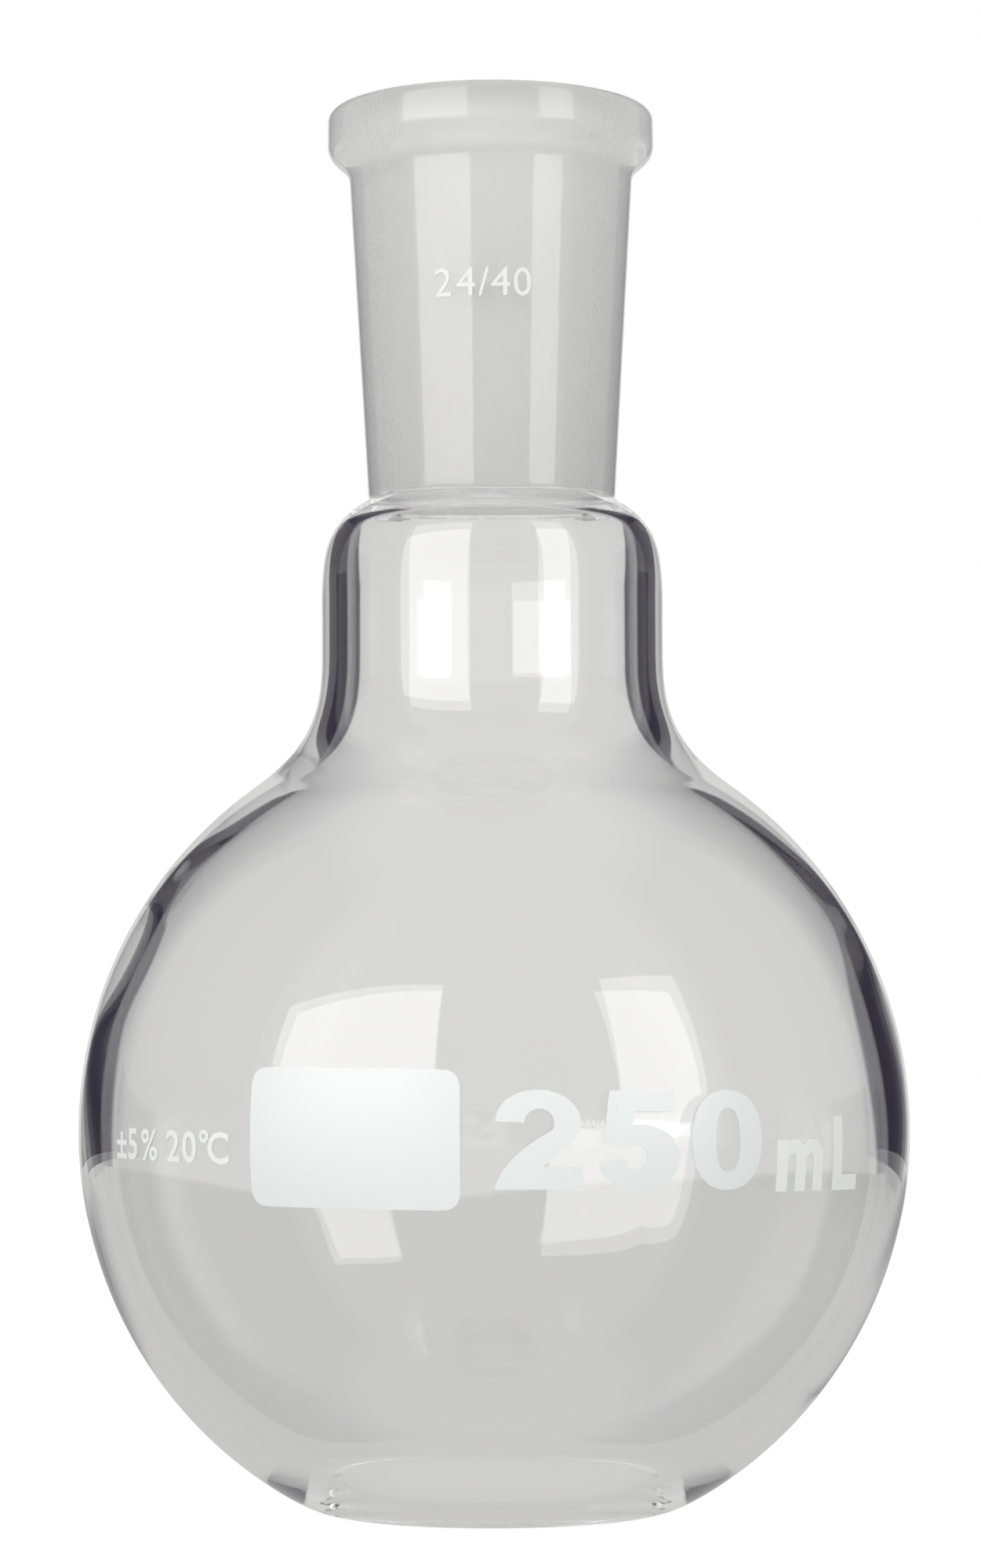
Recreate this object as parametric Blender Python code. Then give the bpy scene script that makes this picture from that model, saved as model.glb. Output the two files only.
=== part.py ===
"""A 250 ml flat-bottomed boiling flask with a ground socket, built as the glassblower builds it.

The body is blown in one piece: foot, bulb, neck and shoulder. The ground socket is a separate
moulded piece, fused to the shoulder. The white marks are fired enamel on the outer surface, and
each character is a solid of its own. The origin is the centre of the foot's underside, +Z runs up
the flask's axis, and the marks face -Y. Sizes are in millimetres until the objects are made.
"""

from math import cos, pi, radians, sin, sqrt

import bmesh
import bpy
from mathutils import Vector
from mathutils.geometry import interpolate_bezier

MM = 0.001

# Heights above the bench.
TOTAL_HEIGHT = 144.0
SEAM_Z = 103.2
SEAM_GAP = 0.3

# The ground socket: a 24/40 standard taper, 24 mm across the mouth, 40 mm long, 1 in 10.
MOUTH_R = 12.0
TAPER = 1 / 20
RIM_R = 16.9
RIM_BAND = 4.2
RIM_CHAMFER = 2.2
RIM_EDGE = 0.5
SOCKET_TOP_R = 14.7
SOCKET_LOW_R = 12.75

# The blown body. The bulb is very nearly a sphere.
BULB_R = 42.5
BULB_RISE = 42.9
BULB_Z = 38.6
BULB_WALL = 2.05
BULB_END_WALL = 2.6
FOOT_ANGLE = -58
FOOT_R = 17.5
FLOOR = 2.3
INNER_FOOT_ANGLE = -48
INNER_FOOT_R = 15.5
NECK_R = 17.6
NECK_WALL = 2.55
NECK_ANGLE = 54.5
NECK_LOW_Z = 87.0
NECK_PULL = 0.75
INNER_NECK_PULL = 0.8
SHOULDER_LOW_Z = 93.0
SHOULDER_CORNER_Z = 100.5
SHOULDER_PULL = 0.8
INNER_SHOULDER_LOW_Z = 95.0
INNER_SHOULDER_CORNER_Z = 100.0
INNER_SHOULDER = ((12.6, 101.2), (10.7, 101.6), (10.05, 102.1))

# The turned pieces are faceted this finely.
SEGMENTS = 48
BULB_STEPS = 17
ROUND_STEPS = 5
EDGE_STEPS = 3

# The enamel lies just clear of the glass, and is cut into strips this wide before it is bent.
# A cut that comes as near to a point as the last value goes through that point.
ENAMEL = 0.1
ENAMEL_GAP = 0.06
STRIP = 1.5
SNAP = 0.04

# Points nearer than this are one: in metres on a turned piece, in millimetres on a letter.
TOUCHING = 1e-6
SAME_POINT = 1e-4

# The bulb's marks are printed this much out of level, in radians: their right side is low.
PRINT_TILT = 0.0125

# The write-on panel: the middle, the size and the corner radius, along the bulb's surface.
PANEL_MIDDLE = (-13.7, 0.0)
PANEL_SIZE = (21.0, 12.95)
PANEL_CORNER = 1.6
PANEL_RINGS = 6
PANEL_SIDE_POINTS = 14

# The marks: each character with its middle along the surface, from the front of the flask.
CAPACITY = (("2", 4.1), ("5", 13.8), ("0", 23.0))
CAPACITY_BASE = -4.45
UNIT = (("m", 32.1), ("l", 39.1))
UNIT_HEIGHT = 6.8
UNIT_STRETCH = 0.95
UNIT_WEIGHT = 0.05
JOINT_SIZE = (("2", -4.9), ("4", -2.55), ("slash", -0.75), ("4", 0.95), ("0", 3.15))
JOINT_SIZE_Z = 122.5
TOLERANCE = (
    ("plus_minus", -43.2),
    ("5", -41.0),
    ("percent", -38.0),
    ("2", -34.2),
    ("0", -31.9),
    ("degree", -29.9),
    ("c", -28.1),
)
TOLERANCE_BASE = -2.6
SMALL_HEIGHT = 3.0
TOLERANCE_WEIGHT = 0.025
SIGNS = {
    "l": "L",
    "slash": "/",
    "plus_minus": "\u00b1",
    "percent": "%",
    "degree": "\u00b0",
    "c": "C",
}

# A font's digits are this tall for a text size of 1. The heavy digits' ovals have a point every
# so many degrees.
DIGIT_SHARE = 0.729
DIGIT_STEP = 15

# The finishes: a colour and a roughness each.
CLEAR = ((0.93, 0.95, 0.94, 1.0), 0.03)
GROUND = ((0.86, 0.87, 0.86, 1.0), 0.55)
WHITE = ((0.9, 0.91, 0.9, 1.0), 0.4)
GLASS_IOR = 1.473


def clear_scene():
    for thing in list(bpy.data.objects):
        bpy.data.objects.remove(thing)


def material(name, look, clear=0.0):
    """A Principled material of that colour and roughness; clear is its share of transmission."""
    colour, roughness = look
    made = bpy.data.materials.new(name)
    made.use_nodes = True
    shader = made.node_tree.nodes["Principled BSDF"]
    shader.inputs["Base Color"].default_value = colour
    shader.inputs["Roughness"].default_value = roughness
    shader.inputs["Metallic"].default_value = 0.0
    shader.inputs["IOR"].default_value = GLASS_IOR
    shader.inputs["Transmission Weight"].default_value = clear
    return made


def add_object(name, mesh, finish):
    mesh.materials.clear()
    mesh.materials.append(finish)
    made = bpy.data.objects.new(name, mesh)
    bpy.context.scene.collection.objects.link(made)
    return made


def rounding(start, corner, end, steps=ROUND_STEPS, pull=0.6):
    """The points of a smooth curve from start to end that turns inside the corner between them."""
    start, corner, end = (Vector((r, 0, z)) for r, z in (start, corner, end))
    near_start = start.lerp(corner, pull)
    near_end = end.lerp(corner, pull)
    curve = interpolate_bezier(start, near_start, near_end, end, steps + 1)
    return [(point.x, point.z) for point in curve]


def bulb_point(radius, rise, angle):
    return radius * cos(angle), BULB_Z + rise * sin(angle)


def skin(wall, end_wall, foot, foot_angle, neck_r, neck_pull):
    """One skin of the blown body as (radius, height) points, from the foot up to the neck.

    The wall is thinnest round the bulb's middle and grows to end_wall towards its poles.
    """
    radius, rise = BULB_R - wall, BULB_RISE - end_wall
    foot_r, foot_z = foot
    low, high = radians(foot_angle), radians(NECK_ANGLE)
    low_point = bulb_point(radius, rise, low)
    high_point = bulb_point(radius, rise, high)
    # The corners are where the bulb's tangents meet the floor and the neck.
    along = (foot_z - low_point[1]) / (rise * cos(low))
    foot_corner = (low_point[0] - along * radius * sin(low), foot_z)
    along = (high_point[0] - neck_r) / (radius * sin(high))
    neck_corner = (neck_r, high_point[1] + along * rise * cos(high))
    angles = [low + (high - low) * i / BULB_STEPS for i in range(1, BULB_STEPS)]
    return (
        [(0.0, foot_z)]
        + rounding((foot_r, foot_z), foot_corner, low_point, EDGE_STEPS)
        + [bulb_point(radius, rise, angle) for angle in angles]
        + rounding(high_point, neck_corner, (neck_r, NECK_LOW_Z), pull=neck_pull)
    )


def turned(name, profile, finish):
    """A solid turned round the axis, from a profile that runs up its bore and down its outside."""
    mesh = bpy.data.meshes.new(name)
    points = [(r * MM, 0, z * MM) for r, z in profile]
    edges = [(i, i + 1) for i in range(len(points) - 1)]
    if profile[0][0] > 0:
        edges.append((len(points) - 1, 0))
    mesh.from_pydata(points, edges, [])
    made = add_object(name, mesh, finish)
    screw = made.modifiers.new("turn", "SCREW")
    screw.axis = "Z"
    screw.angle = 2 * pi
    screw.steps = SEGMENTS
    screw.render_steps = SEGMENTS
    screw.use_merge_vertices = True
    screw.merge_threshold = TOUCHING
    screw.use_smooth_shade = True
    return made


def blown_body(finish):
    """Foot, bulb, neck and shoulder, open at the top, where the socket is fused on."""
    outer = skin(0.0, 0.0, (FOOT_R, 0.0), FOOT_ANGLE, NECK_R, NECK_PULL)
    outer += rounding(
        (NECK_R, SHOULDER_LOW_Z),
        (NECK_R, SHOULDER_CORNER_Z),
        (SOCKET_LOW_R + 0.1, SEAM_Z),
        pull=SHOULDER_PULL,
    )
    inner_neck_r = NECK_R - NECK_WALL
    foot = (INNER_FOOT_R, FLOOR)
    inner = skin(
        BULB_WALL, BULB_END_WALL, foot, INNER_FOOT_ANGLE, inner_neck_r, INNER_NECK_PULL
    )
    inner += rounding(
        (inner_neck_r, INNER_SHOULDER_LOW_Z),
        (inner_neck_r, INNER_SHOULDER_CORNER_Z),
        INNER_SHOULDER[0],
        pull=SHOULDER_PULL,
    )
    inner += [*INNER_SHOULDER[1:], (bore_r(SEAM_Z), SEAM_Z)]
    return turned("blown_body", inner + outer[::-1], finish)


def bore_r(z):
    """The radius of the socket's taper at that height."""
    return MOUTH_R - (TOTAL_HEIGHT - z) * TAPER


def ground_socket(finish):
    """The tapered socket with its beaded rim, down to the seam with the body."""
    low_z = SEAM_Z + SEAM_GAP
    band_low_z = TOTAL_HEIGHT - RIM_BAND
    chamfer_low_z = band_low_z - RIM_CHAMFER
    bore = [(bore_r(low_z), low_z), (bore_r(TOTAL_HEIGHT - RIM_EDGE), TOTAL_HEIGHT - RIM_EDGE)]
    mouth_edge = [(MOUTH_R + 0.1, TOTAL_HEIGHT - 0.15), (MOUTH_R + RIM_EDGE, TOTAL_HEIGHT)]
    rim_edge = rounding(
        (RIM_R - RIM_EDGE, TOTAL_HEIGHT),
        (RIM_R, TOTAL_HEIGHT),
        (RIM_R, TOTAL_HEIGHT - RIM_EDGE),
        EDGE_STEPS,
    )
    band_edge = rounding(
        (RIM_R, band_low_z + RIM_EDGE),
        (RIM_R, band_low_z - 0.3),
        (RIM_R - 0.7, band_low_z - 0.9),
        EDGE_STEPS,
    )
    collar = rounding(
        (SOCKET_TOP_R + 0.5, chamfer_low_z + 0.4),
        (SOCKET_TOP_R, chamfer_low_z - 0.1),
        (SOCKET_TOP_R - 0.05, chamfer_low_z - 0.8),
        EDGE_STEPS,
    )
    foot = [(SOCKET_LOW_R, low_z + 0.3), (SOCKET_LOW_R + 0.05, low_z)]
    profile = bore + mouth_edge + rim_edge + band_edge + collar + foot
    return turned("ground_socket", profile, finish)


def on_bulb(u, v, lift):
    """A point on the bulb: u along the print, v up from its middle line, lift off the glass."""
    around, up = u / BULB_R, (v - u * PRINT_TILT) / BULB_R
    out = Vector((cos(up) * sin(around), -cos(up) * cos(around), sin(up)))
    glass = Vector((BULB_R * out.x, BULB_R * out.y, BULB_Z + BULB_RISE * out.z))
    return glass + out * (ENAMEL_GAP + lift)


def on_socket(u, v, lift):
    """A point on the socket's outside: u round it from the front, v the height above the bench."""
    share = (v - SEAM_Z) / (TOTAL_HEIGHT - RIM_BAND - RIM_CHAMFER - SEAM_Z)
    radius = SOCKET_LOW_R + share * (SOCKET_TOP_R - SOCKET_LOW_R)
    around = u / radius
    radius += ENAMEL_GAP + lift
    return Vector((radius * sin(around), -radius * cos(around), v))


def cut_into_strips(flat):
    """Cuts the flat solid along both directions, so that it can bend with the glass."""
    for axis in (0, 1):
        at = [vertex.co[axis] for vertex in flat.verts]
        low, high = min(at), max(at)
        normal = Vector((1 - axis, axis, 0))
        count = int((high - low) / STRIP) + 1
        for i in range(1, count):
            bmesh.ops.bisect_plane(
                flat,
                geom=flat.verts[:] + flat.edges[:] + flat.faces[:],
                plane_co=normal * (low + (high - low) * i / count),
                plane_no=normal,
                dist=SNAP,
            )


def bent(name, flat, place, finish):
    """The flat solid in millimetres, laid on the glass by place."""
    bmesh.ops.triangulate(flat, faces=flat.faces[:])
    for vertex in flat.verts:
        vertex.co = place(*vertex.co) * MM
    bmesh.ops.recalc_face_normals(flat, faces=flat.faces[:])
    if flat.calc_volume(signed=True) < 0:
        bmesh.ops.reverse_faces(flat, faces=flat.faces[:])
    mesh = bpy.data.meshes.new(name)
    flat.to_mesh(mesh)
    flat.free()
    return add_object(name, mesh, finish)


def letter(sign, height, stretch, weight):
    """One character as a flat solid: centred from left to right, standing on its baseline."""
    text = bpy.data.curves.new("letter", "FONT")
    text.body = sign
    text.size = height / DIGIT_SHARE
    text.offset = weight * height
    text.extrude = ENAMEL / 2
    text.resolution_u = 3
    holder = bpy.data.objects.new("letter", text)
    bpy.context.scene.collection.objects.link(holder)
    graph = bpy.context.evaluated_depsgraph_get()
    mesh = bpy.data.meshes.new_from_object(holder.evaluated_get(graph))
    bpy.data.objects.remove(holder)
    flat = bmesh.new()
    flat.from_mesh(mesh)
    bmesh.ops.remove_doubles(flat, verts=flat.verts[:], dist=SAME_POINT)
    at = [vertex.co.x for vertex in flat.verts]
    middle = (min(at) + max(at)) / 2
    for vertex in flat.verts:
        vertex.co = ((vertex.co.x - middle) * stretch, vertex.co.y, vertex.co.z + ENAMEL / 2)
    return flat


def oval(middle, radii, start, end, squareness=2.0):
    """Points along an oval from one angle to another; above 2.0 it is fuller at its corners."""
    steps = max(2, round(abs(end - start) / DIGIT_STEP))
    points = []
    for i in range(steps + 1):
        angle = radians(start + (end - start) * i / steps)
        way = (cos(angle), sin(angle))
        fit = (abs(way[0]) ** squareness + abs(way[1]) ** squareness) ** (-1 / squareness)
        points.append(tuple(middle[k] + radii[k] * fit * way[k] for k in (0, 1)))
    return points


def sweep(start, pull, end, steps=8):
    """Points between start and end, on a curve bent towards the point pull."""
    shares = [i / steps for i in range(1, steps)]
    return [
        tuple(
            start[k] * (1 - t) ** 2 + 2 * pull[k] * t * (1 - t) + end[k] * t**2 for k in (0, 1)
        )
        for t in shares
    ]


def two():
    """A heavy 2: its bowl runs down the slope into a flat bar."""
    bowl = oval((4.1, 6.2), (4.0, 2.95), 180, -38)
    hook = oval((4.2, 6.1), (1.4, 1.3), -30, 180)
    bar = [(4.55, 2.1), (8.3, 2.1), (8.3, 0.0), (0.0, 0.0)]
    return [bowl + bar + sweep(bar[-1], (0.7, 2.9), hook[0]) + hook]


def five():
    """A heavy 5: a flag, a stem and an open bowl."""
    bowl = oval((4.1, 2.95), (4.1, 3.05), 100, -168)
    counter = oval((3.7, 3.0), (1.15, 1.2), -172, 140)
    flag = [(0.45, 4.0), (1.15, 9.1), (7.6, 9.1), (7.6, 7.2), (3.5, 7.2)]
    return [flag + bowl + counter]


def nought():
    """A heavy 0: a tall ring, thicker at its sides."""
    middle = (3.95, 4.55)
    rims = (((3.95, 4.65), 2.3), ((1.35, 2.95), 2.5))
    return [oval(middle, radii, 0, 360, fullness)[:-1] for radii, fullness in rims]


def slab(loops):
    """A flat solid as thick as the enamel: one outline, or an outline and the hole inside it."""
    flat = bmesh.new()
    levels = [[[flat.verts.new((*p, z)) for p in loop] for loop in loops] for z in (0.0, ENAMEL)]
    for number, loop in enumerate(loops):
        low, high = levels[0][number], levels[1][number]
        for i in range(len(loop)):
            j = (i + 1) % len(loop)
            flat.faces.new((low[i], low[j], high[j], high[i]))
    for level in levels:
        if len(level) == 1:
            flat.faces.new(level[0])
            continue
        outline, hole = level
        for i in range(len(outline)):
            j = (i + 1) % len(outline)
            flat.faces.new((outline[i], outline[j], hole[j], hole[i]))
    bmesh.ops.recalc_face_normals(flat, faces=flat.faces[:])
    bmesh.ops.triangulate(flat, faces=flat.faces[:])
    return flat


def unit_letter(sign):
    return letter(sign, UNIT_HEIGHT, UNIT_STRETCH, UNIT_WEIGHT)


def joint_sign(sign):
    return letter(sign, SMALL_HEIGHT, 1.0, 0.0)


def tolerance_sign(sign):
    return letter(sign, SMALL_HEIGHT, 1.0, TOLERANCE_WEIGHT)


def heavy_digit(sign):
    """One of the capacity's digits as a flat solid, centred, standing on its baseline."""
    flat = slab({"2": two, "5": five, "0": nought}[sign]())
    at = [vertex.co.x for vertex in flat.verts]
    middle = (min(at) + max(at)) / 2
    for vertex in flat.verts:
        vertex.co.x -= middle
    return flat


def loose_parts(flat):
    """The solid's separate bodies, each as a solid of its own, from left to right."""
    left = set(flat.verts)
    groups = []
    while left:
        group, edge = set(), {left.pop()}
        while edge:
            group |= edge
            edge = {e.other_vert(v) for v in edge for e in v.link_edges} - group
        left -= group
        groups.append(group)
    groups.sort(key=lambda group: min((v.co.x, v.co.y) for v in group))
    parts = []
    for group in groups:
        part = flat.copy()
        keep = {v.index for v in group}
        part.verts.ensure_lookup_table()
        bmesh.ops.delete(part, geom=[v for v in part.verts if v.index not in keep])
        parts.append(part)
    flat.free()
    return parts


def mark(group, signs, base, draw, place, finish):
    """A row of enamel characters; a character with several bodies gives several solids."""
    bodies = {}
    for label, middle in signs:
        flat = draw(SIGNS.get(label, label))
        for vertex in flat.verts:
            vertex.co += Vector((middle, base, 0))
        flat.verts.index_update()
        bodies.setdefault(label, []).extend(loose_parts(flat))
    for label, parts in bodies.items():
        for number, part in enumerate(parts, 1):
            name = f"{group}_{label}" if len(parts) == 1 else f"{group}_{label}_{number}"
            cut_into_strips(part)
            bent(name, part, place, finish)


def panel_edge(angle):
    """The panel's edge at that angle from its middle: a rectangle with round corners."""
    half = Vector((PANEL_SIZE[0] / 2, PANEL_SIZE[1] / 2))
    core = half - Vector((PANEL_CORNER, PANEL_CORNER))
    way = Vector((cos(angle), sin(angle)))
    reach = min(half[i] / abs(way[i]) if abs(way[i]) > 1e-9 else 1e9 for i in (0, 1))
    x, y = abs(way.x), abs(way.y)
    if x * reach > core.x and y * reach > core.y:
        along = x * core.x + y * core.y
        reach = along + sqrt(along**2 - core.length_squared + PANEL_CORNER**2)
    return way * reach


def write_on_panel(finish):
    """The blank white panel for pencil notes: rings of points from its middle to its edge."""
    flat = bmesh.new()
    sides = []
    corner = Vector((PANEL_SIZE[0] / 2, PANEL_SIZE[1] / 2))
    count = 4 * PANEL_SIDE_POINTS
    for lift in (0.0, ENAMEL):
        middle = flat.verts.new((0, 0, lift))
        rings = []
        for ring in range(1, PANEL_RINGS + 1):
            share = ring / PANEL_RINGS
            points = []
            for i in range(count):
                # The steps along each side grow shorter towards its ends, to round the corners well.
                side, step = divmod(i, PANEL_SIDE_POINTS)
                t = -cos(pi * step / PANEL_SIDE_POINTS)
                x, y = ((1, t), (-t, 1), (-1, -t), (t, -1))[side]
                way = Vector((x * corner.x, y * corner.y))
                edge = panel_edge(Vector((1, 0)).angle_signed(way) * -1)
                points.append(flat.verts.new((edge.x * share, edge.y * share, lift)))
            rings.append(points)
        for i in range(count):
            flat.faces.new((middle, rings[0][i], rings[0][(i + 1) % count]))
        for inner, outer in zip(rings, rings[1:]):
            for i in range(count):
                j = (i + 1) % count
                flat.faces.new((inner[i], outer[i], outer[j], inner[j]))
        sides.append(rings[-1])
    for i in range(count):
        j = (i + 1) % count
        flat.faces.new((sides[0][i], sides[1][i], sides[1][j], sides[0][j]))
    for vertex in flat.verts:
        vertex.co += Vector((*PANEL_MIDDLE, 0))
    return bent("write_on_panel", flat, on_bulb, finish)


def main():
    clear_scene()
    clear_glass = material("clear_glass", CLEAR, 0.95)
    ground_glass = material("ground_glass", GROUND, 0.6)
    white_enamel = material("white_enamel", WHITE)
    blown_body(clear_glass)
    ground_socket(ground_glass)
    write_on_panel(white_enamel)
    mark("capacity_mark", CAPACITY, CAPACITY_BASE, heavy_digit, on_bulb, white_enamel)
    mark("unit_mark", UNIT, CAPACITY_BASE, unit_letter, on_bulb, white_enamel)
    mark("joint_mark", JOINT_SIZE, JOINT_SIZE_Z, joint_sign, on_socket, white_enamel)
    mark("tolerance_mark", TOLERANCE, TOLERANCE_BASE, tolerance_sign, on_bulb, white_enamel)


main()
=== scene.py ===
"""The looks of the 250 ml flat-bottomed boiling flask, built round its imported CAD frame.

The glass pieces are turned again as fine closed meshes on the CAD's own sizes, so that light
refracts through them as it does through the real walls. Lengths are in millimetres until a mesh
is made. The flask's axis is Z, its foot stands on z = 0, and the marks face -Y.
"""

from math import cos, degrees, exp, pi, radians, sin

import bmesh
import bpy
from mathutils import Matrix, Vector
from mathutils.geometry import interpolate_bezier

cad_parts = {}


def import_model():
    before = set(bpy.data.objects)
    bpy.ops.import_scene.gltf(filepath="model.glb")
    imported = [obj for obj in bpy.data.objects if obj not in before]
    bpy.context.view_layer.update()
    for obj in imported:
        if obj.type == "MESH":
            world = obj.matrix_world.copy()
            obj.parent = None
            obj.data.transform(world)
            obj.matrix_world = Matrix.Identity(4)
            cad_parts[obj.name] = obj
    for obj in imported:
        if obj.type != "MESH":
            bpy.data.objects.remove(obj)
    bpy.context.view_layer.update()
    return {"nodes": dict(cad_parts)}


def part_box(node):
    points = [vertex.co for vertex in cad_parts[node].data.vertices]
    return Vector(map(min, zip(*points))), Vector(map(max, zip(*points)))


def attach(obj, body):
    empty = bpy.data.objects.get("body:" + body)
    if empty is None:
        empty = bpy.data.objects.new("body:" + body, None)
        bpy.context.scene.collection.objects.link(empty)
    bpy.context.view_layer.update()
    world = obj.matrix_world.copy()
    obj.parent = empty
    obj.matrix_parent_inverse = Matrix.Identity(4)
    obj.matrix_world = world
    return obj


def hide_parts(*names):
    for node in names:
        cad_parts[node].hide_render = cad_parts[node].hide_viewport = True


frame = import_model()

MM = 0.001
GLASS_IOR = 1.473

# Sizes read from the frame.
body_low, body_high = (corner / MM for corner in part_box("blown_body"))
socket_low, socket_high = (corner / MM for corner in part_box("ground_socket"))
TOTAL_HEIGHT = socket_high.z
SEAM_Z = (body_high.z + socket_low.z) / 2
BULB_R = (body_high.x - body_low.x) / 2
RIM_R = (socket_high.x - socket_low.x) / 2

# The ground socket.
MOUTH_R = 12.0
TAPER = 1 / 20
RIM_BAND = 4.2
RIM_CHAMFER = 2.2
RIM_EDGE = 0.5
RIM_ROUND = 1.2
MOUTH_ROUND = 0.8
SOCKET_TOP_R = 14.7
SOCKET_LOW_R = 12.75
SOCKET_FLARE = 0.1

# The fused seam between body and socket is a gap twice this wide, so that the two never touch.
SEAM_HALF_GAP = 0.005

# The blown body.
BULB_RISE = 42.9
BULB_Z = 38.6
BULB_WALL = 2.05
BULB_END_WALL = 2.6
FOOT_ANGLE = -58
FOOT_R = 17.5
FLOOR = 2.3
INNER_FOOT_ANGLE = -48
INNER_FOOT_R = 15.5
NECK_R = 17.6
NECK_WALL = 2.55
NECK_ANGLE = 54.5
NECK_LOW_Z = 87.0
NECK_PULL = 0.75
INNER_NECK_PULL = 0.8
SHOULDER_LOW_Z = 93.0
SHOULDER_CORNER_Z = 100.5
SHOULDER_PULL = 0.8
INNER_SHOULDER_LOW_Z = 95.0
INNER_SHOULDER_CORNER_Z = 100.0
INNER_SHOULDER = (12.6, 101.2)
BORE_FOOT_CORNER = (10.2, 101.68)
BORE_FOOT = (10.05, 102.3)

# The turned meshes are this fine. A ring of points that is nearer the axis than ON_AXIS is one
# point, and an edge where the surface turns by more than SHARP_ANGLE is a sharp one.
SEGMENTS = 256
BULB_STEPS = 90
ROUND_STEPS = 32
RIM_STEPS = 12
EDGE_STEPS = 8
ON_AXIS = 1e-6
SHARP_ANGLE = radians(20)

# The inner skin is even over its last rings, and the rim's top is ground over its first ones.
NECK_TOP_RINGS = 50
RIM_GROUND_RINGS = 4

# The blown wall is a little uneven. Each wave has its depth, its number of waves round the flask,
# the height of one wave and its start. Each patch has its depth, its angle round the flask in
# degrees, its height, and its half-widths in degrees and in millimetres.
WALL_WAVES = ((0.05, 3, 55.0, 0.0), (0.04, 5, -38.0, 1.0), (0.03, 2, 80.0, 2.0))
WALL_PATCHES = (
    (0.4, 190, 65.0, 9, 3.5),
    (-0.3, 186, 56.0, 10, 4.0),
    (0.25, 352, 60.0, 9, 5.0),
    (0.45, 186, 62.5, 3.5, 1.4),
)
# At this share of the bulb's radius and beyond, the wall has its full unevenness.
FULL_UNEVENNESS = 1 / 1.2

# Light passes between the glass surfaces this many times before it is given up.
BOUNCES = 128
TRANSPARENT_BOUNCES = 16

# Ground glass: its pits' size and depth, the least and most of the light that they scatter, and
# the share of that which they send back.
GRIT_SCALE = 3500.0
GRIT_DETAIL = 2.0
GRIT_DEPTH = 0.0001
GRIT_BUMP = 0.4
GROUND_ROUGHNESS = 0.5
SENT_BACK = 0.6
SCATTERED = (0.65, 0.95)

# The enamel: each print has its white and how much of the glass under it the print hides.
ENAMEL_ROUGHNESS = 0.35
SOLID_PRINT = ((0.66, 0.69, 0.685, 1), 1.0)
THIN_PRINT = ((0.8, 0.82, 0.81, 1), 0.9)
FAINT_PRINT = ((0.78, 0.8, 0.79, 1), 0.8)


def rounding(start, corner, end, steps=ROUND_STEPS, pull=0.6):
    """The points of a smooth curve from start to end that turns inside the corner between them."""
    start, corner, end = (Vector((r, 0, z)) for r, z in (start, corner, end))
    near_start = start.lerp(corner, pull)
    near_end = end.lerp(corner, pull)
    curve = interpolate_bezier(start, near_start, near_end, end, steps + 1)
    return [(point.x, point.z) for point in curve]


def bulb_point(radius, rise, angle):
    """The point of the bulb's outline at that angle above its middle."""
    return radius * cos(angle), BULB_Z + rise * sin(angle)


def skin(wall, end_wall, foot, foot_angle, neck_r, neck_pull):
    """One skin of the blown body as (radius, height) points, from the foot up to the neck.

    The wall is thinnest round the bulb's middle and grows to end_wall towards its poles.
    """
    radius, rise = BULB_R - wall, BULB_RISE - end_wall
    foot_r, foot_z = foot
    low, high = radians(foot_angle), radians(NECK_ANGLE)
    low_point = bulb_point(radius, rise, low)
    high_point = bulb_point(radius, rise, high)
    # The corners are where the bulb's tangents meet the floor and the neck.
    along = (foot_z - low_point[1]) / (rise * cos(low))
    foot_corner = (low_point[0] - along * radius * sin(low), foot_z)
    along = (high_point[0] - neck_r) / (radius * sin(high))
    neck_corner = (neck_r, high_point[1] + along * rise * cos(high))
    angles = [low + (high - low) * i / BULB_STEPS for i in range(1, BULB_STEPS)]
    return (
        [(0.0, foot_z)]
        + rounding((foot_r, foot_z), foot_corner, low_point)
        + [bulb_point(radius, rise, angle) for angle in angles]
        + rounding(high_point, neck_corner, (neck_r, NECK_LOW_Z), pull=neck_pull)
    )


def bore_r(z):
    """The radius of the socket's taper at that height."""
    return MOUTH_R - (TOTAL_HEIGHT - z) * TAPER


def unevenness(r, z, angle):
    """How far the blown body's inner skin lies outside its true round, in millimetres."""
    waves = sum(
        depth * sin(count * angle + 2 * pi * z / rise + start)
        for depth, count, rise, start in WALL_WAVES
    )
    patches = 0.0
    for depth, middle, height, half_turn, half_rise in WALL_PATCHES:
        turn = (degrees(angle) - middle + 180) % 360 - 180
        patches += depth * exp(-((turn / half_turn) ** 2) - ((z - height) / half_rise) ** 2)
    return (waves + patches) * min(1.0, r / (BULB_R * FULL_UNEVENNESS)) ** 2


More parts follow.
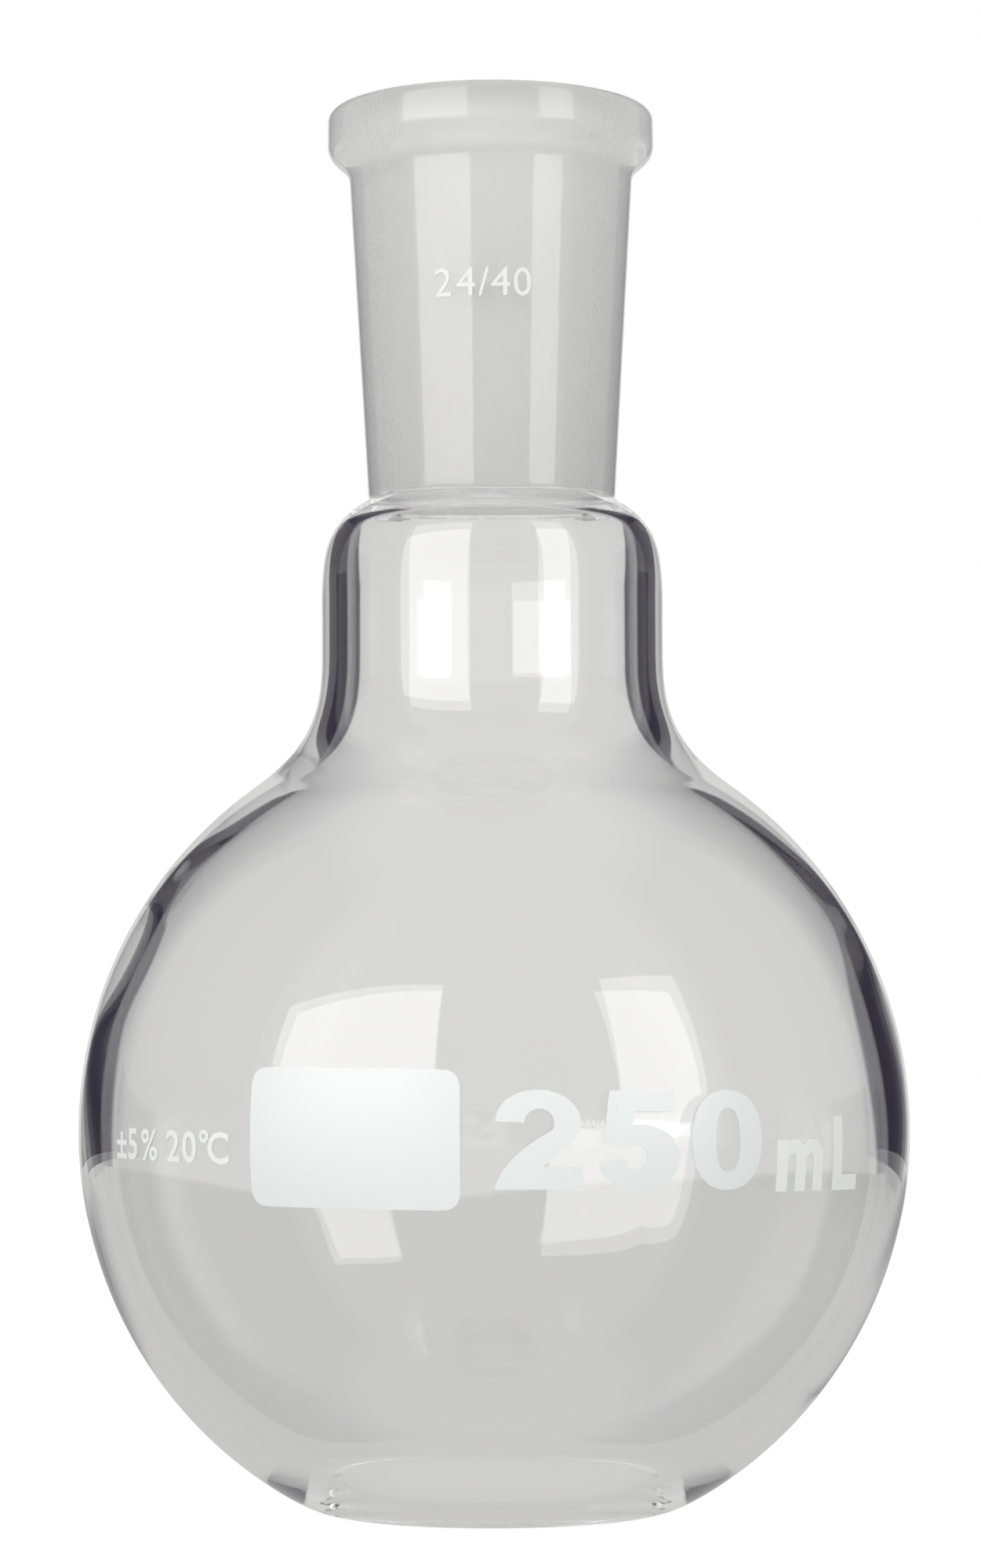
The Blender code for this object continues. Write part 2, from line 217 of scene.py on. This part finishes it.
def turned(name, profile, materials, finish_of, uneven=0):
    """A closed mesh turned round the axis. finish_of gives a material's number for a stretch.

    The wall's unevenness is added to the profile's first points, as many as uneven says.
    """
    mesh = bpy.data.meshes.new(name)
    solid = bmesh.new()
    rings = []
    for number, (r, z) in enumerate(profile):
        if r < ON_AXIS:
            rings.append([solid.verts.new((0, 0, z * MM))])
            continue
        ring = []
        for i in range(SEGMENTS):
            angle = 2 * pi * i / SEGMENTS
            out = r + unevenness(r, z, angle) if number < uneven else r
            ring.append(solid.verts.new((out * MM * cos(angle), out * MM * sin(angle), z * MM)))
        rings.append(ring)
    pairs = list(zip(rings, rings[1:]))
    if len(rings[0]) > 1:
        pairs.append((rings[-1], rings[0]))
    for number, (low, high) in enumerate(pairs):
        finish = finish_of(number)
        for i in range(SEGMENTS):
            j = (i + 1) % SEGMENTS
            # A ring of one point gives the same corner twice, which leaves a triangle.
            near = (low[i % len(low)], high[i % len(high)])
            far = (high[j % len(high)], low[j % len(low)])
            face = solid.faces.new(list(dict.fromkeys(near + far)))
            face.smooth = True
            face.material_index = finish
    bmesh.ops.recalc_face_normals(solid, faces=solid.faces[:])
    if solid.calc_volume(signed=True) < 0:
        bmesh.ops.reverse_faces(solid, faces=solid.faces[:])
    for edge in solid.edges:
        edge.smooth = edge.calc_face_angle(0) < SHARP_ANGLE
    solid.to_mesh(mesh)
    solid.free()
    for finish in materials:
        mesh.materials.append(finish)
    made = bpy.data.objects.new(name, mesh)
    bpy.context.scene.collection.objects.link(made)
    return made


def nodes_of(name):
    """A new material of that name and its empty node tree."""
    made = bpy.data.materials.new(name)
    made.use_nodes = True
    tree = made.node_tree
    tree.nodes.clear()
    return made, tree


def clear_glass():
    """Smooth clear borosilicate glass."""
    made, tree = nodes_of("borosilicate_glass")
    out = tree.nodes.new("ShaderNodeOutputMaterial")
    shader = tree.nodes.new("ShaderNodeBsdfPrincipled")
    shader.inputs["Base Color"].default_value = (1, 1, 1, 1)
    shader.inputs["Roughness"].default_value = 0.0
    shader.inputs["IOR"].default_value = GLASS_IOR
    shader.inputs["Transmission Weight"].default_value = 1.0
    tree.links.new(shader.outputs[0], out.inputs["Surface"])
    return made


def ground_glass():
    """Ground glass: its fine pits spread the light that goes through and send part of it back."""
    made, tree = nodes_of("ground_glass")
    new, link = tree.nodes.new, tree.links.new
    out = new("ShaderNodeOutputMaterial")
    place = new("ShaderNodeTexCoord")
    grit = new("ShaderNodeTexNoise")
    grit.inputs["Scale"].default_value = GRIT_SCALE
    grit.inputs["Detail"].default_value = GRIT_DETAIL
    link(place.outputs["Object"], grit.inputs["Vector"])
    bump = new("ShaderNodeBump")
    bump.inputs["Strength"].default_value = GRIT_BUMP
    bump.inputs["Distance"].default_value = GRIT_DEPTH
    link(grit.outputs["Fac"], bump.inputs["Height"])
    rough = new("ShaderNodeBsdfPrincipled")
    rough.inputs["Base Color"].default_value = (1, 1, 1, 1)
    rough.inputs["Roughness"].default_value = GROUND_ROUGHNESS
    rough.inputs["IOR"].default_value = GLASS_IOR
    rough.inputs["Transmission Weight"].default_value = 1.0
    link(bump.outputs["Normal"], rough.inputs["Normal"])
    through = new("ShaderNodeBsdfTranslucent")
    through.inputs["Color"].default_value = (1, 1, 1, 1)
    back = new("ShaderNodeBsdfDiffuse")
    back.inputs["Color"].default_value = (1, 1, 1, 1)
    link(bump.outputs["Normal"], back.inputs["Normal"])
    pits = new("ShaderNodeMixShader")
    pits.inputs["Fac"].default_value = SENT_BACK
    link(through.outputs[0], pits.inputs[1])
    link(back.outputs[0], pits.inputs[2])
    cover = new("ShaderNodeMapRange")
    link(grit.outputs["Fac"], cover.inputs["Value"])
    cover.inputs["To Min"].default_value = SCATTERED[0]
    cover.inputs["To Max"].default_value = SCATTERED[1]
    mix = new("ShaderNodeMixShader")
    link(cover.outputs["Result"], mix.inputs["Fac"])
    link(rough.outputs[0], mix.inputs[1])
    link(pits.outputs[0], mix.inputs[2])
    link(mix.outputs[0], out.inputs["Surface"])
    return made


def fused_seam():
    """Where two pieces of glass are fused there is no surface, so light goes straight on."""
    made, tree = nodes_of("fused_seam")
    out = tree.nodes.new("ShaderNodeOutputMaterial")
    shader = tree.nodes.new("ShaderNodeBsdfTransparent")
    tree.links.new(shader.outputs[0], out.inputs["Surface"])
    return made


def enamel(name, look):
    """Fired white enamel. The look is its white, and how much of the glass under it it hides."""
    white, cover = look
    made, tree = nodes_of(name)
    out = tree.nodes.new("ShaderNodeOutputMaterial")
    shader = tree.nodes.new("ShaderNodeBsdfPrincipled")
    shader.inputs["Base Color"].default_value = white
    shader.inputs["Roughness"].default_value = ENAMEL_ROUGHNESS
    bare = tree.nodes.new("ShaderNodeBsdfTransparent")
    mix = tree.nodes.new("ShaderNodeMixShader")
    mix.inputs["Fac"].default_value = cover
    tree.links.new(bare.outputs[0], mix.inputs[1])
    tree.links.new(shader.outputs[0], mix.inputs[2])
    tree.links.new(mix.outputs[0], out.inputs["Surface"])
    return made


def blown_body(glass, seam):
    """Foot, bulb, neck and shoulder, as one closed wall of glass with its inner skin."""
    top_z = SEAM_Z - SEAM_HALF_GAP
    outer = skin(0.0, 0.0, (FOOT_R, 0.0), FOOT_ANGLE, NECK_R, NECK_PULL)
    outer += rounding(
        (NECK_R, SHOULDER_LOW_Z),
        (NECK_R, SHOULDER_CORNER_Z),
        (SOCKET_LOW_R + SOCKET_FLARE, top_z),
        pull=SHOULDER_PULL,
    )
    inner_neck_r = NECK_R - NECK_WALL
    foot = (INNER_FOOT_R, FLOOR)
    inner = skin(
        BULB_WALL, BULB_END_WALL, foot, INNER_FOOT_ANGLE, inner_neck_r, INNER_NECK_PULL
    )
    inner += rounding(
        (inner_neck_r, INNER_SHOULDER_LOW_Z),
        (inner_neck_r, INNER_SHOULDER_CORNER_Z),
        INNER_SHOULDER,
        pull=SHOULDER_PULL,
    )
    inner += rounding(INNER_SHOULDER, BORE_FOOT_CORNER, BORE_FOOT, RIM_STEPS)[1:]
    inner += [(bore_r(top_z), top_z)]
    cap = len(inner) - 1
    bulb_skin = len(inner) - NECK_TOP_RINGS
    profile = inner + outer[::-1]
    return turned("body_glass", profile, [glass, seam], lambda i: int(i == cap), bulb_skin)


def ground_socket(glass, ground, seam):
    """The tapered socket, ground inside and on its mouth's edge, clear outside."""
    low_z = SEAM_Z + SEAM_HALF_GAP
    band_low_z = TOTAL_HEIGHT - RIM_BAND
    chamfer_low_z = band_low_z - RIM_CHAMFER
    bore = [(bore_r(low_z), low_z), (bore_r(TOTAL_HEIGHT - RIM_EDGE), TOTAL_HEIGHT - RIM_EDGE)]
    # The small offsets below are the depths of the edges' roundings.
    mouth_edge = rounding(
        bore[-1],
        (MOUTH_R, TOTAL_HEIGHT),
        (MOUTH_R + MOUTH_ROUND, TOTAL_HEIGHT),
        EDGE_STEPS,
    )[1:]
    rim_edge = rounding(
        (RIM_R - RIM_ROUND, TOTAL_HEIGHT),
        (RIM_R, TOTAL_HEIGHT),
        (RIM_R, TOTAL_HEIGHT - RIM_ROUND),
        RIM_STEPS,
    )
    band_edge = rounding(
        (RIM_R, band_low_z + RIM_EDGE),
        (RIM_R, band_low_z - 0.3),
        (RIM_R - 0.7, band_low_z - 0.9),
        EDGE_STEPS,
    )
    collar = rounding(
        (SOCKET_TOP_R + 0.5, chamfer_low_z + 0.4),
        (SOCKET_TOP_R, chamfer_low_z - 0.1),
        (SOCKET_TOP_R - 0.05, chamfer_low_z - 0.8),
        EDGE_STEPS,
    )
    foot = [(SOCKET_LOW_R, low_z + 0.3), (SOCKET_LOW_R + SOCKET_FLARE, low_z)]
    profile = bore + mouth_edge + rim_edge + band_edge + collar + foot
    last = len(profile) - 1
    ground_rings = len(bore + mouth_edge) + RIM_GROUND_RINGS
    return turned(
        "socket_glass",
        profile,
        [glass, ground, seam],
        lambda i: 1 if i < ground_rings else 2 if i == last else 0,
    )


# The studio. Directions are degrees round the flask and above the horizon, and a zone has its two
# edges and how soft they are. BACKDROP, SIDES and ROOM are measured from behind the flask, and the
# rest of the ring is dark flags. Each tone is a strength.
BACKDROP, BACKDROP_TONE = (-18, 18, 1.0), 0.64
SIDES, SIDES_TONE = (52, 112, 3.0), 0.45
ROOM, ROOM_TONE = (109, 115), 0.9
DOME, DOME_TONE = (40, 70), 0.9
BENCH, BENCH_TONE = (-6, -5), 0.6
FLAG_TONE = 0.035

# The two softboxes, measured from the flask's front: the edges, and the way each one faces. Their
# lower and upper edges are heights over distances.
SOFTBOXES = ((-64, -16.4, -16), (34.6, 60, 35))
SOFTBOX_LOW = -0.02
SOFTBOX_HIGH = 0.81
SOFTBOX_STRENGTH = 3.0
SOFTBOX_SIDE_SOFT = 0.4
SOFTBOX_TOP_SOFT = 0.007
LEAST_COSINE = 0.1

# The light is slightly violet where it is darkest and slightly warm from there up.
DARK_TINT = (0.95, 0.85, 1.25, 1)
LIGHT_TINT = (1, 0.995, 0.985, 1)
TINT_TONES = (0.05, 0.4)


def world():
    """The studio as the glass sees it. The camera itself sees plain white behind the flask."""
    made = bpy.data.worlds.new("studio")
    bpy.context.scene.world = made
    made.use_nodes = True
    tree = made.node_tree
    tree.nodes.clear()
    new, link = tree.nodes.new, tree.links.new

    def math(operation, a, b=None):
        node = new("ShaderNodeMath")
        node.operation = operation
        for number, value in enumerate((a, b)):
            if value is None:
                continue
            if isinstance(value, (int, float)):
                node.inputs[number].default_value = value
            else:
                link(value, node.inputs[number])
        return node.outputs[0]

    def step(value, low, high):
        node = new("ShaderNodeMapRange")
        node.interpolation_type = "SMOOTHSTEP"
        link(value, node.inputs["Value"])
        node.inputs["From Min"].default_value = low
        node.inputs["From Max"].default_value = high
        return node.outputs["Result"]

    def window(value, low, high, soft):
        """1 between low and high, 0 outside, with soft edges."""
        rise = step(value, low - soft, low + soft)
        fall = step(value, high - soft, high + soft)
        return math("MULTIPLY", rise, math("SUBTRACT", 1.0, fall))

    place = new("ShaderNodeTexCoord")
    split = new("ShaderNodeSeparateXYZ")
    link(place.outputs["Generated"], split.inputs[0])
    x, y, z = split.outputs
    up = math("MULTIPLY", math("ARCSINE", z), degrees(1))
    behind = math("MULTIPLY", math("ARCTAN2", x, y), degrees(1))
    front = math("MULTIPLY", math("ARCTAN2", x, math("MULTIPLY", y, -1.0)), degrees(1))

    def softbox(low_az, high_az, facing):
        """A flat light: its level top edge looks lower the further it is from facing it."""
        turn = math("MULTIPLY", math("SUBTRACT", front, facing), radians(1))
        rise = math("DIVIDE", z, math("SQRT", math("SUBTRACT", 1.0, math("MULTIPLY", z, z))))
        height = math("DIVIDE", rise, math("MAXIMUM", math("COSINE", turn), LEAST_COSINE))
        shape = math(
            "MULTIPLY",
            window(front, low_az, high_az, SOFTBOX_SIDE_SOFT),
            window(height, SOFTBOX_LOW, SOFTBOX_HIGH, SOFTBOX_TOP_SOFT),
        )
        return math("MULTIPLY", shape, SOFTBOX_STRENGTH)

    around = math("ABSOLUTE", behind)
    backdrop = math("MULTIPLY", window(behind, *BACKDROP), BACKDROP_TONE)
    sides = math("MULTIPLY", window(around, *SIDES), SIDES_TONE)
    room = math("MULTIPLY", step(around, *ROOM), ROOM_TONE)
    light = math("ADD", backdrop, math("ADD", sides, room))
    light = math("ADD", light, FLAG_TONE)
    light = math("MAXIMUM", light, math("MULTIPLY", step(up, *DOME), DOME_TONE))
    below = math("SUBTRACT", 1.0, step(up, *BENCH))
    light = math("MAXIMUM", light, math("MULTIPLY", below, BENCH_TONE))
    for box in SOFTBOXES:
        light = math("ADD", light, softbox(*box))

    shade = new("ShaderNodeMix")
    shade.data_type = "RGBA"
    link(step(light, *TINT_TONES), shade.inputs["Factor"])
    shade.inputs["A"].default_value = DARK_TINT
    shade.inputs["B"].default_value = LIGHT_TINT
    studio = new("ShaderNodeBackground")
    link(shade.outputs["Result"], studio.inputs["Color"])
    link(light, studio.inputs["Strength"])
    plain = new("ShaderNodeBackground")
    plain.inputs["Color"].default_value = (1, 1, 1, 1)
    plain.inputs["Strength"].default_value = 1.0
    path = new("ShaderNodeLightPath")
    mix = new("ShaderNodeMixShader")
    link(path.outputs["Is Camera Ray"], mix.inputs["Fac"])
    link(studio.outputs[0], mix.inputs[1])
    link(plain.outputs[0], mix.inputs[2])
    out = new("ShaderNodeOutputWorld")
    link(mix.outputs[0], out.inputs["Surface"])


# The floor is a pale disc, just under the foot. The glass sees it glow with painted light, which
# grows towards its rim and falls towards the right as painted shade. The camera sees it as white,
# with a soft shadow.
FLOOR_R = 0.64
FLOOR_SEGMENTS = 96
FLOOR_DROP = 0.00002
# Painted light: through the glass the floor glows brighter at its rim, with painted shade towards
# the right.
RIM_PAINTED_LIGHT = {"From Min": 0.6, "From Max": FLOOR_R, "To Min": 0.57, "To Max": 0.64}
RIGHT_PAINTED_SHADE = {"From Min": 0.05, "From Max": 0.3, "To Min": 1.0, "To Max": 0.8}
FLOOR_GREY = (0.6, 0.6, 0.6, 1)
FLOOR_GLOW = 0.75


def floor():
    mesh = bpy.data.meshes.new("floor")
    disc = bmesh.new()
    bmesh.ops.create_circle(disc, cap_ends=True, segments=FLOOR_SEGMENTS, radius=FLOOR_R)
    disc.to_mesh(mesh)
    disc.free()
    made = bpy.data.objects.new("floor", mesh)
    bpy.context.scene.collection.objects.link(made)
    made.location.z = -FLOOR_DROP
    finish, tree = nodes_of("pale_floor")
    new, link = tree.nodes.new, tree.links.new
    out = new("ShaderNodeOutputMaterial")
    grey = new("ShaderNodeBsdfDiffuse")
    grey.inputs["Color"].default_value = FLOOR_GREY
    # The glow that the glass sees is painted light on the floor, with painted shade towards the
    # right.
    painted_floor_light = new("ShaderNodeEmission")
    painted_floor_light.inputs["Color"].default_value = LIGHT_TINT
    place = new("ShaderNodeTexCoord")
    reach = new("ShaderNodeVectorMath")
    reach.operation = "LENGTH"
    link(place.outputs["Object"], reach.inputs[0])
    side = new("ShaderNodeSeparateXYZ")
    link(place.outputs["Object"], side.inputs[0])
    painted_light_strength = new("ShaderNodeMath")
    painted_light_strength.operation = "MULTIPLY"
    blends = ((reach.outputs["Value"], RIM_PAINTED_LIGHT), (side.outputs["X"], RIGHT_PAINTED_SHADE))
    for number, (value, ends) in enumerate(blends):
        blend = new("ShaderNodeMapRange")
        blend.interpolation_type = "SMOOTHSTEP"
        link(value, blend.inputs["Value"])
        for end, amount in ends.items():
            blend.inputs[end].default_value = amount
        link(blend.outputs["Result"], painted_light_strength.inputs[number])
    link(painted_light_strength.outputs[0], painted_floor_light.inputs["Strength"])
    white = new("ShaderNodeEmission")
    white.inputs["Color"].default_value = (1, 1, 1, 1)
    white.inputs["Strength"].default_value = FLOOR_GLOW
    lit = new("ShaderNodeAddShader")
    link(white.outputs[0], lit.inputs[0])
    link(grey.outputs[0], lit.inputs[1])
    path = new("ShaderNodeLightPath")
    mix = new("ShaderNodeMixShader")
    link(path.outputs["Is Camera Ray"], mix.inputs["Fac"])
    link(painted_floor_light.outputs[0], mix.inputs[1])
    link(lit.outputs[0], mix.inputs[2])
    link(mix.outputs[0], out.inputs["Surface"])
    mesh.materials.append(finish)


# The camera stands in front of the flask, a little above its bulb's middle, and looks slightly
# up. Lengths are in millimetres, but the clipping distances are in metres.
CAMERA_DISTANCE = 427.5
CAMERA_HEIGHT = 49.8
CAMERA_ASIDE = -0.25
CAMERA_PITCH = radians(3.247)
CAMERA_ROLL = radians(0.213)
CAMERA_LENS = 95.24
CAMERA_SENSOR = 36
CAMERA_CLIP = (0.05, 20)


def camera():
    data = bpy.data.cameras.new("camera")
    data.lens = CAMERA_LENS
    data.sensor_width = CAMERA_SENSOR
    data.clip_start, data.clip_end = CAMERA_CLIP
    made = bpy.data.objects.new("camera", data)
    bpy.context.scene.collection.objects.link(made)
    turn = Matrix.Rotation(pi / 2 + CAMERA_PITCH, 4, "X") @ Matrix.Rotation(-CAMERA_ROLL, 4, "Z")
    place = Vector((CAMERA_ASIDE, -CAMERA_DISTANCE, CAMERA_HEIGHT)) * MM
    made.matrix_world = Matrix.Translation(place) @ turn
    bpy.context.scene.camera = made


def main():
    glass = clear_glass()
    ground = ground_glass()
    seam = fused_seam()
    body = blown_body(glass, seam)
    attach(body, "root")
    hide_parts("blown_body")
    socket = ground_socket(glass, ground, seam)
    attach(socket, "root")
    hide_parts("ground_socket")
    solid_print = enamel("white_enamel", SOLID_PRINT)
    thin_print = enamel("thin_white_enamel", THIN_PRINT)
    faint_print = enamel("faint_white_enamel", FAINT_PRINT)
    prints = {"joint": faint_print, "tolerance": thin_print, "unit": thin_print}
    for name, node in frame["nodes"].items():
        if name not in ("blown_body", "ground_socket"):
            node.data.materials.clear()
            node.data.materials.append(prints.get(name.split("_")[0], solid_print))
    world()
    floor()
    camera()
    scene = bpy.context.scene
    scene.view_settings.view_transform = "Standard"
    scene.cycles.max_bounces = BOUNCES
    scene.cycles.glossy_bounces = BOUNCES
    scene.cycles.transmission_bounces = BOUNCES
    scene.cycles.transparent_max_bounces = TRANSPARENT_BOUNCES


main()
